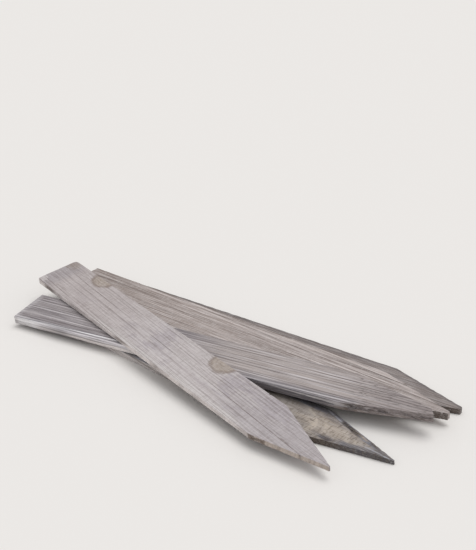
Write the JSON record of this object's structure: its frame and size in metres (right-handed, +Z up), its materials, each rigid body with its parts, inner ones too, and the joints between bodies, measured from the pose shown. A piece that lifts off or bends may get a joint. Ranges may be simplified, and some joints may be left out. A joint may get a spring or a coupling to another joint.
{
  "type": "plant label stake set",
  "caption": "Loose pile of flat weathered wooden plant label stakes, sawn square at one end and cut to a point at the other to push into soil.",
  "frame": {"origin": "on the floor under the middle of the whole pile's box", "axes": "+X to the right along the pile's long way, +Y to the back, +Z up"},
  "size_m": [0.3044, 0.2686, 0.0229],
  "materials": {
    "front_wood": "weathered brown wood with blue-black stained edges, matte",
    "rear_wood": "dark slate weathered wood, matte",
    "right_wood": "warm grey weathered wood with nearly straight, streaked grain, matte",
    "left_wood": "blue-grey weathered wood with raised straight grain, matte",
    "top_wood": "pale silver-grey weathered wood with fine straight grain, matte"
  },
  "bodies": {
    "front": {"front_stake": "front_wood"},
    "rear": {"rear_stake": "rear_wood"},
    "right": {"right_stake": "right_wood"},
    "left": {"left_stake": "left_wood"},
    "top": {"top_stake": "top_wood"}
  },
  "joints": [
    {"name": "rear_lift", "type": "slide", "parent": "front", "child": "rear", "axis": [0, 0, 1], "range_m": [0, 0.06]},
    {"name": "right_lift", "type": "slide", "parent": "rear", "child": "right", "axis": [0, 0, 1], "range_m": [0, 0.06]},
    {"name": "left_lift", "type": "slide", "parent": "right", "child": "left", "axis": [0, 0, 1], "range_m": [0, 0.06]},
    {"name": "top_lift", "type": "slide", "parent": "left", "child": "top", "axis": [0, 0, 1], "range_m": [0, 0.06]}
  ]
}
